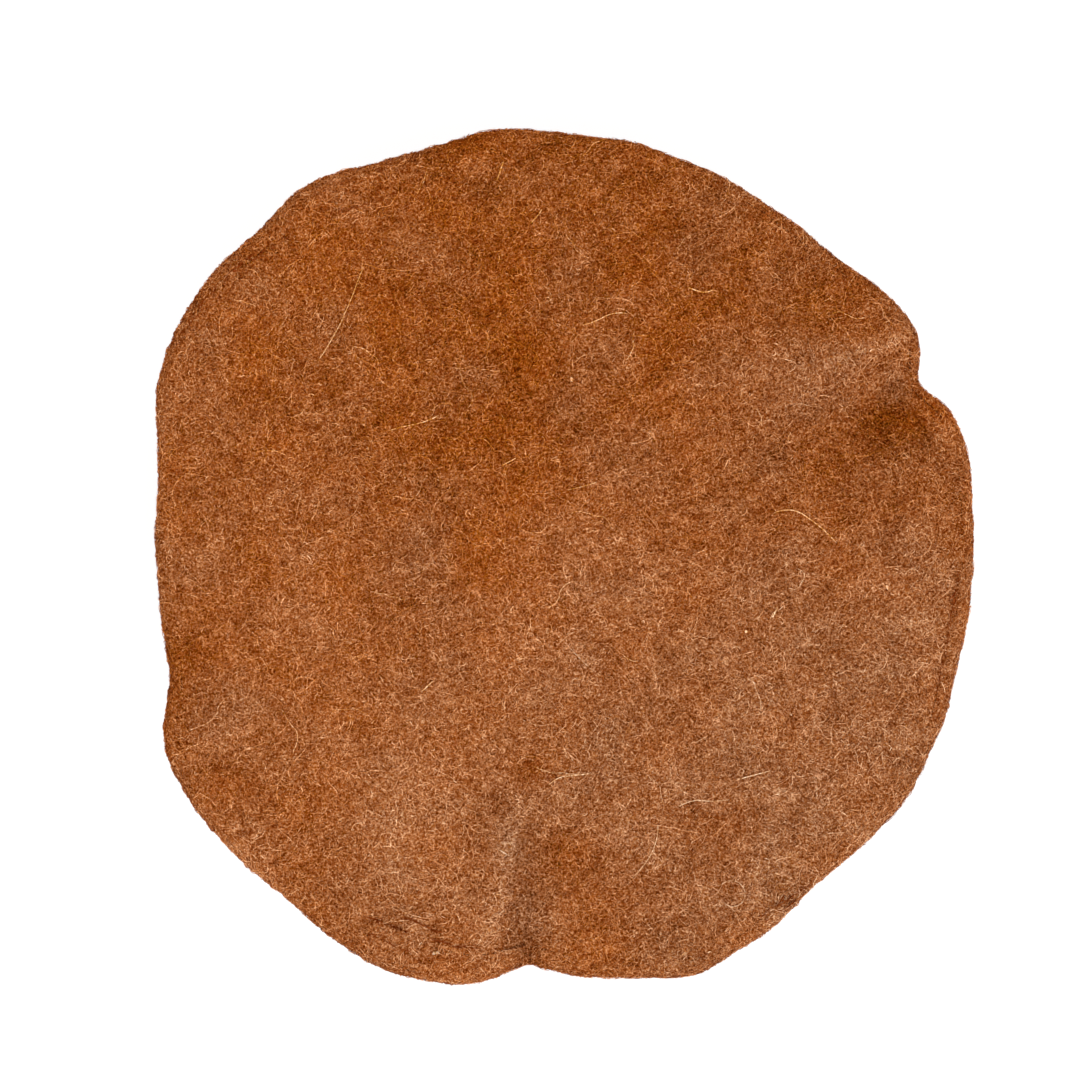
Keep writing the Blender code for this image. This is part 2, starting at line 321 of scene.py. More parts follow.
# Layers of hairs: how many, where on the flat cap they start and end, the number of pieces that each is bent
# in, its lengths, width, lowest height, highest arch, how many degrees its heading strays from the way that
# the wool lies, its total bend in degrees, and its darkest and lightest tint.
HairLayer = namedtuple(
    "HairLayer",
    "name seed count nearest farthest bends shortest longest width bed lift scatter curl dark light",
)
TOP_LAYERS = tuple(HairLayer(*row) for row in (
    ("crown_grain", 31, 74000, 0.0, 0.14, 2, 0.0007, 0.0017, 3e-4, 6e-5, 2.5e-4, 180, 90, 0.0, 0.65),
    ("crown_tufts", 39, 90000, 0.0, 0.14, 2, 0.0008, 0.0021, 2.4e-4, 6e-5, 4.5e-4, 90, 110, 0.08, 0.84),
    ("crown_curls", 32, 32000, 0.0, 0.14, 4, 0.0016, 0.0045, 2e-4, 6e-5, 6e-4, 60, 150, 0.28, 0.92),
    ("crown_waves", 38, 6500, 0.0, 0.136, 6, 0.0035, 0.009, 1.6e-4, 3e-4, 4.5e-4, 40, 85, 0.52, 0.89),
    ("loose_hairs", 35, 220, 0.0, 0.128, 12, 0.006, 0.017, 1.6e-4, 4e-4, 5e-4, 40, 70, 0.7, 0.97),
    ("shoulder_grain", 33, 32000, 0.136, 0.165, 2, 0.0007, 0.002, 3.4e-4, 6e-5, 3e-4, 180, 90, 0.0, 0.75),
    ("shoulder_curls", 34, 10000, 0.136, 0.165, 4, 0.0016, 0.0045, 2.6e-4, 6e-5, 6e-4, 90, 170, 0.25, 0.92),
    ("rim_tufts", 40, 14000, 0.118, 0.14, 2, 0.0008, 0.0018, 3.4e-4, 6e-5, 3e-4, 180, 110, 0.1, 0.7),
))
BRIM_LAYERS = tuple(HairLayer(*row) for row in (
    ("brim_grain", 36, 30000, 0.002, 0.106, 2, 0.0008, 0.0022, 3.8e-4, 6e-5, 3e-4, 180, 90, 0.0, 0.75),
    ("brim_curls", 37, 10000, 0.002, 0.106, 4, 0.0018, 0.0048, 2.8e-4, 6e-5, 6e-4, 90, 170, 0.25, 0.92),
))

# Layers of hairs that are placed one by one, which leave some columns unused.
STRAY_LAYER, SPECK_LAYER, FLUFF_LAYER, CREASE_SHADE_LAYER = (HairLayer(*row) for row in (
    ("stray_hairs", 42, 20, 0.0, 0.0, 12, 0.0, 0.0, 2.6e-4, 6e-4, 3e-4, 0, 0, 0.93, 0.98),
    ("specks", 43, 4, 0.0, 0.0, 4, 0.0, 0.0, 9e-4, 5e-4, 1e-4, 0, 0, 0.88, 0.93),
    ("fluff", 43, 1, 0.0, 0.0, 4, 0.0, 0.0, 16e-4, 5e-4, 1e-4, 0, 0, 0.99, 1.0),
    # Dark hairs along the creases, as painted shade in them.
    ("crease_shade_hairs", 44, 0, 0.0, 0.0, 4, 0.0012, 0.003, 2.6e-4, 5e-4, 1.5e-4, 12, 8, 0.0, 0.2),
))


# The shape

def bell(distance, width):
    """1 at no distance, falling off smoothly on both sides."""
    return np.exp(-0.5 * (distance / width) ** 2)


def valley(distance, width, softness):
    """1 along the bottom of a valley, falling off on both sides."""
    return np.exp(softness - softness * np.hypot(1.0, distance / (softness * width)))


def angle_between(first, second):
    """The turn from the second bearing to the first, from -180 to 180 degrees."""
    return (first - second + 180.0) % 360.0 - 180.0


def smooth_step(share):
    share = np.clip(share, 0.0, 1.0)
    return share * share * (3 - 2 * share)


def edge_value(bearings, column):
    """A column of EDGE at any bearings, along a smooth closed curve through its rows."""
    bearings = np.asarray(bearings, float) % 360.0
    places = np.array([row.bearing for row in EDGE], float)
    values = np.array([getattr(row, column) for row in EDGE])
    after = np.searchsorted(places, bearings, side="right")
    rows = [(after + k) % len(EDGE) for k in (-2, -1, 0, 1)]
    x = [angle_between(places[row], bearings) for row in rows]
    y = [values[row] for row in rows]
    span = x[2] - x[1]
    share = -x[1] / span
    slope_in = (y[2] - y[0]) / (x[2] - x[0]) * span
    slope_out = (y[3] - y[1]) / (x[3] - x[1]) * span
    rise = y[2] - y[1]
    return (
        y[1]
        + slope_in * share
        + (3 * rise - 2 * slope_in - slope_out) * share**2
        + (slope_in + slope_out - 2 * rise) * share**3
    )


def edge_reach(bearings):
    """How far the cap's outermost edge is from the origin, seen from above."""
    reach = edge_value(bearings, "reach")
    pulled = np.zeros_like(reach)
    for fold in FOLDS:
        aside = np.radians(angle_between(bearings, fold.bearing)) * (reach - pulled)
        pulled = pulled + fold.notch * bell(aside, fold.notch_width)
    return reach - pulled


def seam_reach(bearings):
    return edge_reach(bearings) - edge_value(bearings, "inset")


def seam_height(bearings):
    """The felt's top at the seam, before the folds sink it."""
    return SEAM_HEIGHT - SEAM_TILT * np.cos(np.radians(bearings - LOW_BEARING))


def fold_sink(x, y):
    """How far the folds sink the felt at points seen from above."""
    sink = np.zeros_like(x)
    for fold in FOLDS:
        edge = float(edge_reach(np.array([fold.bearing]))[0])
        start = math.radians(fold.bearing)
        inward = math.radians(fold.bearing + 180.0 + fold.lean)
        from_edge_x = x - edge * math.cos(start)
        from_edge_y = y - edge * math.sin(start)
        along = from_edge_x * math.cos(inward) + from_edge_y * math.sin(inward)
        aside = from_edge_y * math.cos(inward) - from_edge_x * math.sin(inward)
        sink += fold.depth * valley(aside, fold.width, fold.softness) * smooth_step(1.0 - along / fold.length)
    return sink


def crease_sink(x, y):
    """How far the fine creases sink the felt."""
    sink = np.zeros_like(x)
    for crease in CREASES:
        run_x = crease.end_x - crease.start_x
        run_y = crease.end_y - crease.start_y
        length = math.hypot(run_x, run_y)
        along = ((x - crease.start_x) * run_x + (y - crease.start_y) * run_y) / length
        aside = ((x - crease.start_x) * run_y - (y - crease.start_y) * run_x) / length
        ends = smooth_step(along / CREASE_ENDS + 0.5) * smooth_step((length - along) / CREASE_ENDS + 0.5)
        sink += crease.depth * bell(aside, crease.width) * ends
    return sink


def on_circle(bearings, reach, height):
    """Points from bearings, reaches and heights."""
    angle = np.radians(bearings)
    return np.stack(np.broadcast_arrays(reach * np.cos(angle), reach * np.sin(angle), height), axis=-1)


def middle_of_outline():
    bearings = np.arange(0.0, 360.0)
    outline = on_circle(bearings, edge_reach(bearings), 0.0)
    return (outline.min(axis=0) + outline.max(axis=0)) / 2


def crown_face(bearings, shares):
    """The crown's top face as a grid of bearings by shares of the way from its middle to the seam."""
    bearings = bearings[:, None]
    shares = shares[None, :]
    reach = shares * (seam_reach(bearings) - SEAM_SLIT / 2)
    points = on_circle(bearings, reach, 0.0)
    x, y = points[..., 0], points[..., 1]
    rise = CROWN_TOP - seam_height(bearings)
    points[..., 2] = CROWN_TOP - rise * shares**DOME_POWER - fold_sink(x, y)
    return points


def head_reach(bearings):
    """How far the brim's inner wall is from the origin."""
    across = np.cos(np.radians(bearings))
    along = np.sin(np.radians(bearings))
    return 1.0 / np.hypot(across / HEAD_HALF_WIDTH, along / HEAD_HALF_LENGTH) + HEAD_SHIFT * across


def brim_section(bearings, angles):
    """(reach, height) of the rolled part, on the face that shows, at angles along its turns."""
    shrink = BRIM_PITCH * (angles - 180.0) / 360.0
    across = np.cos(np.radians(angles))
    up = np.sin(np.radians(angles))
    power = 2.0 / BRIM_SQUARENESS
    reach = (BRIM_HALF_THICKNESS - shrink) * np.sign(across) * np.abs(across) ** power
    height = (BRIM_HALF_HEIGHT - shrink) * np.sign(up) * np.abs(up) ** power
    reach = head_reach(bearings) + BRIM_HALF_THICKNESS + reach
    height = BRIM_HALF_HEIGHT - BRIM_PITCH / 2 + height
    return reach, np.maximum(height, 0.0)


def shoulder_section(bearings, shares):
    """(reach, height) of the band's inner face from the seam, at share 0, to the tuck, at share 2."""
    seam = seam_reach(bearings) + SEAM_SLIT / 2
    edge = edge_reach(bearings)
    rim = on_circle(bearings, edge, 0.0)
    top = seam_height(bearings) - fold_sink(rim[..., 0], rim[..., 1])
    widest = top - SHOULDER_DROP
    power = 2.0 / SHOULDER_SQUARENESS
    start = math.radians(SHOULDER_START)
    turn = start + (math.pi / 2 - start) * np.minimum(shares, 1.0)
    out = (np.sin(turn) ** power - math.sin(start) ** power) / (1.0 - math.sin(start) ** power)
    upper_reach = seam + (edge - FELT - seam) * out
    upper_height = widest + (top - FELT - widest) * (np.cos(turn) / math.cos(start)) ** power
    tuck_reach, tuck_height = brim_section(bearings, np.array(FIRST_TURN_ANGLE))
    lower_turn = math.pi / 2 * (shares - 1.0)
    lower_reach = tuck_reach + (edge - FELT - tuck_reach) * np.cos(lower_turn)
    lower_height = widest - (widest - tuck_height) * np.sin(lower_turn)
    lower = shares > 1.0
    return np.where(lower, lower_reach, upper_reach), np.where(lower, lower_height, upper_height)


def seam_shift(reach, height):
    """How far in the section's first row moves, so that the felt's outer face still starts at the seam."""
    step = reach[:, 1] - reach[:, 0]
    drop = height[:, 0] - height[:, 1]
    shift = np.zeros_like(step)
    for _ in range(10):
        shift = FELT * drop / np.hypot(step + shift, drop)
    return shift


def band_face(bearings):
    """The band's face that is inside at the shoulder and shows on the brim, from seam to free edge."""
    bearings = bearings[:, None]
    shares = np.linspace(0.0, 2.0, SHOULDER_ROWS, endpoint=False)[None, :]
    angles = FIRST_TURN_ANGLE + np.linspace(0.0, 360.0 * BRIM_TURNS, BRIM_ROWS)[None, :]
    reach, height = shoulder_section(bearings, shares)
    reach[:, 0] -= seam_shift(reach, height)
    shoulder = on_circle(bearings, reach, height)
    brim = on_circle(bearings, *brim_section(bearings, angles))
    return np.concatenate([shoulder, brim], axis=1)


# Skins: grids of points with the way out of the felt at each

def ways_out(grid, showing_inside):
    """The unit normals of a grid of columns by rows that closes on itself along its columns."""
    along = np.roll(grid, -1, axis=0) - np.roll(grid, 1, axis=0)
    down = np.gradient(grid, axis=1)
    out = np.cross(along, down) if showing_inside else np.cross(down, along)
    size = np.linalg.norm(out, axis=-1, keepdims=True)
    return np.where(size > 1e-12, out / np.maximum(size, 1e-12), np.array([0.0, 0.0, 1.0]))


def waves(points, field):
    """The values of a random field at points, mostly within its strength of 0."""
    rng = np.random.default_rng(field.seed)
    heading = rng.normal(size=(field.count, 3))
    heading /= np.linalg.norm(heading, axis=1, keepdims=True)
    pitch = 2 * math.pi / rng.uniform(field.shortest, field.longest, field.count)
    phase = rng.uniform(0.0, 2 * math.pi, field.count)
    flat = points.reshape(-1, 3) @ (heading * pitch[:, None]).T
    height = np.cos(flat + phase).sum(axis=1) * math.sqrt(2.0 / field.count)
    return field.strength * height.reshape(points.shape[:-1])


def relief(points, settings):
    """How far lumps and soft waves raise the felt."""
    return settings.lump_depth * waves(points, LUMPS) + settings.swell_depth * waves(points, SWELLS)


def shaped(grid, showing_inside, settings, share):
    """The grid with its relief, at a share of its full depth for each row, and its normals."""
    out = ways_out(grid, showing_inside)
    outer = grid - out * FELT if showing_inside else grid
    raised = grid + out * (relief(outer, settings) * share)[..., None]
    return raised, ways_out(raised, showing_inside)


def crown_skin(columns, rows, settings):
    """The crown's top face with relief and creases, and its normals."""
    bearings = np.linspace(0.0, 360.0, columns, endpoint=False)
    grid = crown_face(bearings, np.linspace(0.0, 1.0, rows))
    grid[..., 2] -= crease_sink(grid[..., 0], grid[..., 1])
    return shaped(grid - middle_of_outline(), False, settings, np.ones(grid.shape[:2]))


def band_skin(columns, settings):
    """The band's face that is inside at the shoulder and shows on the brim, and its normals."""
    bearings = np.linspace(0.0, 360.0, columns, endpoint=False)
    grid = band_face(bearings)
    row = np.arange(grid.shape[1])
    upper = smooth_step((SHOULDER_ROWS / 2 - row) / TOP_FADE_ROWS)
    grid[..., 2] -= crease_sink(grid[..., 0], grid[..., 1]) * upper
    turn_rows = (BRIM_ROWS - 1) // BRIM_TURNS
    shoulder = smooth_step((SHOULDER_ROWS - row) / SHOULDER_FADE_ROWS)
    brim_start = smooth_step((row - SHOULDER_ROWS - TUCK_ROWS) / SHOULDER_FADE_ROWS)
    brim_end = smooth_step((SHOULDER_ROWS + turn_rows - row) / BRIM_FADE_ROWS)
    share = np.broadcast_to(brim_start * brim_end - shoulder, grid.shape[:2])
    grid, out = shaped(grid - middle_of_outline(), True, settings, share)
    bumps = settings.rim_depth * bell(row - SHOULDER_ROWS / 2, RIM_BUMP_ROWS) * waves(grid, RIM_BUMPS)
    grid = grid - out * bumps[..., None]
    grid[..., 2] = np.maximum(grid[..., 2], 0.0)
    return grid, out


def top_skin(settings):
    """One skin over the crown and the shoulder, down to the tuck: points, normals and rows on the crown."""
    crown, crown_out = crown_skin(SKIN_COLUMNS, SKIN_ROWS, settings)
    band, band_out = band_skin(SKIN_COLUMNS, settings)
    shoulder_out = -band_out[:, :SHOULDER_ROWS]
    shoulder = band[:, :SHOULDER_ROWS] + shoulder_out * FELT
    return np.concatenate([crown, shoulder], axis=1), np.concatenate([crown_out, shoulder_out], axis=1)


def brim_skin(settings):
    """The brim's showing face, from its inner wall, under and up the outside, to its top."""
    band, out = band_skin(SKIN_COLUMNS, settings)
    first = SHOULDER_ROWS + TUCK_ROWS
    last = SHOULDER_ROWS + (BRIM_ROWS - 1) // BRIM_TURNS
    return band[:, first:last], out[:, first:last]


def pick(grid, columns, rows):
    """Values of a grid between its columns and rows, which needn't be whole numbers."""
    count, depth = grid.shape[:2]
    rows = np.clip(rows, 0.0, depth - 1.001)
    column = np.floor(columns).astype(int)
    row = np.floor(rows).astype(int)
    right = (columns - column)[..., None]
    below = (rows - row)[..., None]
    upper = grid[column % count, row] * (1 - right) + grid[(column + 1) % count, row] * right
    lower = grid[column % count, row + 1] * (1 - right) + grid[(column + 1) % count, row + 1] * right
    return upper * (1 - below) + lower * below


def top_places(paths, skin):
    """Where points of the cap laid flat, with its middle at the origin, are on the top skin."""
    grid, out = skin
    lengths = np.linalg.norm(np.diff(grid, axis=1), axis=-1)
    crown_length = lengths[:, : SKIN_ROWS - 1].sum(axis=1)
    shoulder_length = lengths[:, SKIN_ROWS:].sum(axis=1)
    shoulder_steps = (lengths[:, SKIN_ROWS:] / shoulder_length[:, None]).mean(axis=0)
    shoulder_share = np.concatenate([[0.0], np.cumsum(shoulder_steps)])
    columns = (np.degrees(np.arctan2(paths[..., 1], paths[..., 0])) % 360.0) / 360.0 * SKIN_COLUMNS
    reach = np.hypot(paths[..., 0], paths[..., 1])
    nearest = np.round(columns).astype(int) % SKIN_COLUMNS
    beyond = (reach - crown_length[nearest]) / shoulder_length[nearest]
    crown_row = reach / crown_length[nearest] * (SKIN_ROWS - 1)
    shoulder_row = SKIN_ROWS + np.interp(beyond, shoulder_share, np.arange(len(shoulder_share)))
    rows = np.where(beyond > 0.0, shoulder_row, crown_row)
    return pick(grid, columns, rows), pick(out, columns, rows)


def brim_places(paths, skin):
    """Where points of the brim laid flat, x round the head and y across the felt, are on the brim's skin."""
    grid, out = skin
    lengths = np.linalg.norm(np.diff(grid, axis=1), axis=-1).mean(axis=0)
    along = np.concatenate([[0.0], np.cumsum(lengths)])
    columns = (paths[..., 0] / BRIM_REACH / (2 * math.pi) * SKIN_COLUMNS) % SKIN_COLUMNS
    rows = np.interp(paths[..., 1], along, np.arange(len(along)))
    return pick(grid, columns, rows), pick(out, columns, rows)


# Meshes

def new_piece(name, mesh, material):
    """Puts a mesh in the scene as a piece of the cap that wears the felt."""
    mesh.materials.append(material)
    piece = bpy.data.objects.new(name, mesh)
    bpy.context.scene.collection.objects.link(piece)
    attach(piece, BODY)
    return piece


def mesh_from_faces(name, points, face_groups):
    """A mesh from points and groups of faces, each group an array with one row of point numbers a face."""
    mesh = bpy.data.meshes.new(name)
    mesh.vertices.add(len(points))
    mesh.vertices.foreach_set("co", np.asarray(points, np.float32).ravel())
    corners = np.concatenate([group.ravel() for group in face_groups]).astype(np.int32)
    sides = np.concatenate([np.full(len(group), group.shape[1], np.int32) for group in face_groups])
    mesh.loops.add(len(corners))
    mesh.loops.foreach_set("vertex_index", corners)
    mesh.polygons.add(len(sides))
    mesh.polygons.foreach_set("loop_start", (np.cumsum(sides) - sides).astype(np.int32))
    mesh.update(calc_edges=True)
    mesh.shade_smooth()
    return mesh


def set_values(mesh, name, values):
    """Stores a number for each point of a mesh, for its material to read."""
    attribute = mesh.attributes.new(name, "FLOAT", "POINT")
    attribute.data.foreach_set("value", np.asarray(values, np.float32).ravel())


def set_wool(mesh, points):
    """Stores how light and how warm the wool is at each point: its own tone, with painted shade in the
    creases and the painted light and shade of the patches.
    """
    x, y = points[..., 0], points[..., 1]
    # Painted shade: the wool is darker along the creases.
    light = sum(waves(points, field) for field in WOOL_LIGHT) - CREASE_SHADE * crease_sink(x, y)
    # The wool gets richer where it is darker, painted shade included.
    warmth = waves(points, WOOL_WARMTH) + light
    on_top = smooth_step((points[..., 2] - PATCH_FLOOR) / PATCH_FADE)
    # The patches add the wool's own tone and painted light: shade, highlights and sheen.
    for patch in PAINTED_LIGHT_AND_TONE_PATCHES:
        bearing = math.radians(patch.bearing)
        along = (x - patch.x) * math.cos(bearing) + (y - patch.y) * math.sin(bearing)
        aside = (y - patch.y) * math.cos(bearing) - (x - patch.x) * math.sin(bearing)
        near = bell(along, patch.length) * bell(aside, patch.width) * on_top
        light = light + patch.light * near
        warmth = warmth + patch.warmth * near
    set_values(mesh, "wool_tone_and_painted_light", light)
    set_values(mesh, "wool_warmth_and_painted_light", warmth)


def felt_sheet(name, grid, showing_inside, middle, material):
    """A sheet of felt from a skin, with its thickness. middle, none or one point, closes the first row."""
    columns, rows = grid.shape[:2]
    column, row = np.meshgrid(np.arange(columns), np.arange(rows - 1), indexing="ij")
    here = column * rows + row
    beside = (column + 1) % columns * rows + row
    quads = np.stack([here, beside, beside + 1, here + 1], axis=-1)
    if not showing_inside:
        quads = quads[..., ::-1]
    groups = [quads.reshape(-1, 4)]
    free_rows = [0, rows - 1]
    if len(middle):
        groups.append(np.stack([np.full(columns, columns * rows), here[:, 0], beside[:, 0]], axis=-1))
        free_rows = [rows - 1]
    points = np.concatenate([grid.reshape(-1, 3), middle])
    mesh = mesh_from_faces(name, points, groups)
    set_wool(mesh, points)
    ends = np.empty(len(mesh.edges) * 2, np.int32)
    mesh.edges.foreach_get("vertices", ends)
    sharp = mesh.attributes.new("sharp_edge", "BOOLEAN", "EDGE")
    sharp.data.foreach_set("value", np.isin(ends.reshape(-1, 2) % rows, free_rows).all(axis=1))
    piece = new_piece(name, mesh, material)
    solid = piece.modifiers.new("felt", "SOLIDIFY")
    solid.thickness = FELT
    solid.offset = -1.0
    solid.use_even_offset = False
    return piece


# Hairs

def stepped(starts, ways, lengths):
    """Paths from their starts, the way that each step goes and their whole lengths."""
    steps = (lengths / ways.shape[1])[:, None, None] * np.stack([np.cos(ways), np.sin(ways)], axis=-1)
    return np.concatenate([starts[:, None], starts[:, None] + np.cumsum(steps, axis=1)], axis=1)


def curly_paths(rng, starts, layer):
    """Random paths on felt laid flat: each bends one way all along and wavers a little.

    Hairs that are close together lie alike, the more so the smaller their layer's scatter is.
    """
    count = len(starts)
    curl = math.radians(layer.curl)
    lie = LIE_BEARING + waves(np.pad(starts, ((0, 0), (0, 1))), LIE_WANDER)
    headings = np.radians(lie + rng.normal(0.0, layer.scatter, count))
    lengths = rng.uniform(layer.shortest, layer.longest, count)
    steady = rng.normal(0.0, curl, count)[:, None] / layer.bends
    waver = rng.normal(0.0, curl * WAVER_SHARE, (count, layer.bends))
    return stepped(starts, headings[:, None] + np.cumsum(steady + waver, axis=1), lengths)


def crease_shade_paths(rng, layer):
    """Paths for the dark hairs that paint shade along the creases, more of them the longer and deeper a
    crease is.
    """
    starts = []
    ways = []
    for crease in CREASES:
        run = np.array([crease.end_x - crease.start_x, crease.end_y - crease.start_y])
        length = math.hypot(*run)
        count = round(CREASE_SHADE_HAIRS * length * crease.depth)
        aside = rng.normal(0.0, crease.width / 3, (count, 1)) * np.array([-run[1], run[0]]) / length
        share = rng.uniform(-CREASE_LEAD, 1.0 - CREASE_LEAD, (count, 1))
        starts.append((crease.start_x, crease.start_y) + share * run + aside)
        ways.append(rng.normal(math.atan2(run[1], run[0]), math.radians(layer.scatter), count))
    starts = np.concatenate(starts)
    lengths = rng.uniform(layer.shortest, layer.longest, len(starts))
    waver = rng.normal(0.0, math.radians(layer.curl), (len(starts), layer.bends))
    return stepped(starts, np.concatenate(ways)[:, None] + np.cumsum(waver, axis=1), lengths)


def placed_paths(rows, bends):
    """The paths of a table of single hairs."""
    table = np.array(rows)
    turns = np.radians(np.repeat(table[:, 4:6] / (bends / 2), bends // 2, axis=1))
    ways = np.radians(table[:, 2:3]) + np.cumsum(turns, axis=1)
    return stepped(table[:, :2], ways, table[:, 3])


def unit(vectors):
    return vectors / np.maximum(np.linalg.norm(vectors, axis=-1, keepdims=True), 1e-12)


def hair_mesh(name, places, out, widths, roll):
    """Thin ribbons along rows of places, pointed at both ends and turned about their length by roll."""
    count, stops = places.shape[:2]
    ahead = unit(np.gradient(places, axis=1))
    side = unit(np.cross(out, ahead))
    side = side * np.cos(roll)[:, None, None] + np.cross(ahead, side) * np.sin(roll)[:, None, None]
    half = side[:, 1:-1] * (widths / 2)[:, None, None]
    middle = places[:, 1:-1]
    pairs = np.stack([middle - half, middle + half], axis=2).reshape(count, 2 * stops - 4, 3)
    points = np.concatenate([places[:, :1], pairs, places[:, -1:]], axis=1)
    each = points.shape[1]
    first = (np.arange(count) * each)[:, None]
    quads = [first + np.array([[k, k + 2, k + 3, k + 1]]) for k in range(1, each - 3, 2)]
    groups = [first + np.array([[0, 1, 2]]), *quads, first + np.array([[each - 3, each - 1, each - 2]])]
    flat = points.reshape(-1, 3)
    flat[:, 2] = np.maximum(flat[:, 2], 0.0)
    mesh = mesh_from_faces(name, flat, groups)
    set_wool(mesh, flat)
    return mesh, each


def lay_hairs(layer, skin, place, paths, rng, settings):
    """Lays a layer's hairs along flat paths on a skin, as one piece. The highest are the lightest."""
    count, stops = paths.shape[:2]
    places, out = place(paths, skin)
    arch = np.sin(np.linspace(0.0, math.pi, stops))[None, :]
    rise = rng.uniform(0.0, 1.0, count)
    height = layer.bed + rise[:, None] * layer.lift * arch
    places = places + out * height[..., None]
    widths = settings.hair_thickness * layer.width * rng.uniform(THINNEST_SHARE, THICKEST_SHARE, count)
    roll = rng.normal(0.0, math.radians(ROLL_SPREAD), count)
    mesh, each = hair_mesh(layer.name, places, out, widths, roll)
    tints = layer.dark + (layer.light - layer.dark) * (0.5 * rise + 0.5 * rng.uniform(0.0, 1.0, count))
    set_values(mesh, "hair_tint", np.repeat(tints, each))
    return new_piece(layer.name, mesh, hair_material(settings))


def flat_round(rng, count, nearest, farthest):
    """Random points of a ring laid flat, evenly spread."""
    reach = np.sqrt(rng.uniform(nearest**2, farthest**2, count))
    turn = rng.uniform(0.0, 2 * math.pi, count)
    return np.stack([reach * np.cos(turn), reach * np.sin(turn)], axis=-1)


# Materials

def add_node(tree, kind, inputs, **settings):
    """Adds a node with its settings, and its inputs as numbers or as links."""
    node = tree.nodes.new(kind)
    for key, value in settings.items():
        setattr(node, key, value)
    for key, value in inputs.items():
        if isinstance(value, bpy.types.NodeSocket):
            tree.links.new(value, node.inputs[key])
        else:
            node.inputs[key].default_value = value
    return node


def maths(tree, operation, first, second, third=0.0):
    node = add_node(tree, "ShaderNodeMath", {0: first, 1: second, 2: third}, operation=operation)
    return node.outputs[0]


def vector_maths(tree, operation, first, second, third=(0.0, 0.0, 0.0)):
    node = add_node(tree, "ShaderNodeVectorMath", {0: first, 1: second, 2: third}, operation=operation)
    return node.outputs[0]


def mix_colours(tree, share, first, second):
    """The first colour, a link, turned towards the second, three numbers, by a share."""
    node = add_node(tree, "ShaderNodeMix", {0: share, 6: first, 7: (*second, 1.0)}, data_type="RGBA")
    return node.outputs[2]


def ramp(tree, value, *stops):
    """A colour ramp with stops of (place, colour)."""
    node = add_node(tree, "ShaderNodeValToRGB", {0: value})
    elements = node.color_ramp.elements
    while len(elements) < len(stops):
        elements.new(0.5)
    for element, (place, colour) in zip(elements, stops):
        element.position = place
        element.color = (*colour[:3], 1.0)
    return node.outputs[0]


def in_metres(tree, move=(0.0, 0.0, 0.0)):
    """Coordinates on the object, moved so that two textures don't match."""
    place = add_node(tree, "ShaderNodeTexCoord", {})
    return add_node(tree, "ShaderNodeVectorMath", {0: place.outputs["Object"], 1: move}).outputs[0]


def noise(tree, size, move=(0.0, 0.0, 0.0), detail=2.0, distortion=0.0):
    """Noise with features of about a size in metres."""
    place = in_metres(tree, move)
    inputs = {"Vector": place, "Scale": 1.0 / size, "Detail": detail, "Distortion": distortion}
    return add_node(tree, "ShaderNodeTexNoise", inputs).outputs[0]


def threads(tree, size, thinness, move):
    """1 on thin curling lines, where a noise passes its middle value, and 0 between them."""
    away = maths(tree, "ABSOLUTE", maths(tree, "SUBTRACT", noise(tree, size, move, 1.0, 1.2), 0.5), 0.0)
    inputs = {"Value": away, "From Min": 0.0, "From Max": thinness, "To Min": 1.0, "To Max": 0.0}
    return add_node(tree, "ShaderNodeMapRange", inputs, interpolation_type="SMOOTHSTEP").outputs[0]


def toned(tree, colour):
    """A colour made lighter or darker in fine grains and as the wool's tone and painted light are, and richer
    where it's dark.
    """
    wool_tone_and_painted_light = add_node(tree, "ShaderNodeAttribute", {}, attribute_name="wool_tone_and_painted_light").outputs["Fac"]
    wool_warmth_and_painted_light = add_node(tree, "ShaderNodeAttribute", {}, attribute_name="wool_warmth_and_painted_light").outputs["Fac"]
    grain = maths(tree, "SUBTRACT", noise(tree, GRAIN_SIZE, (0.0, 0.0, 0.29)), 0.5)
    light = maths(tree, "MULTIPLY_ADD", grain, GRAIN_STRENGTH, wool_tone_and_painted_light)
    warm = vector_maths(tree, "MULTIPLY_ADD", wool_warmth_and_painted_light, WARM_TINT, PLAIN_TINT)
    rich = vector_maths(tree, "MULTIPLY_ADD", light, LIGHT_TINT, warm)
    tinted = vector_maths(tree, "MULTIPLY", colour, vector_maths(tree, "MAXIMUM", rich, LEAST_TINT))
    brightness = maths(tree, "MAXIMUM", maths(tree, "ADD", light, 1.0), LEAST_LIGHT)
    return vector_maths(tree, "MULTIPLY", tinted, brightness)


def wool_shader(tree, colour, roughness):
    shader = tree.nodes["Principled BSDF"]
    tree.links.new(colour, shader.inputs["Base Color"])
    tree.links.new(roughness, shader.inputs["Roughness"])
    shader.inputs["Specular IOR Level"].default_value = SHINE
    return shader


def new_material(name):
    material = bpy.data.materials.new(name)
    material.use_nodes = True
    return material


def felt_material(settings):
    """Felted wool under its hairs: curling threads on a darker bed, with a bump to match."""
    found = bpy.data.materials.get("wool_felt_bed")
    if found:
        return found
    material = new_material("wool_felt_bed")
    tree = material.node_tree
    grain = noise(tree, BED_GRAIN, detail=3.0, distortion=1.5)
    bed = ramp(tree, grain, (0.36, settings.felt_dark), (0.64, settings.felt_light))
    coarse = threads(tree, COARSE_THREADS, COARSE_THINNESS, (0.31, 0.0, 0.0))
    fine = threads(tree, FINE_THREADS, FINE_THINNESS, (0.0, 0.47, 0.0))
    strands = maths(tree, "MAXIMUM", coarse, fine)
    colour = mix_colours(tree, maths(tree, "MULTIPLY", strands, THREAD_COVER), bed, settings.hair_light)
    roughness = maths(tree, "MULTIPLY_ADD", grain, 0.15, 0.80)
    shader = wool_shader(tree, toned(tree, colour), roughness)
    height = maths(tree, "MULTIPLY_ADD", strands, 0.6, grain)
    bump = add_node(tree, "ShaderNodeBump", {"Strength": 0.6, "Distance": BUMP_DEPTH, "Height": height})
    tree.links.new(bump.outputs[0], shader.inputs["Normal"])
    return material


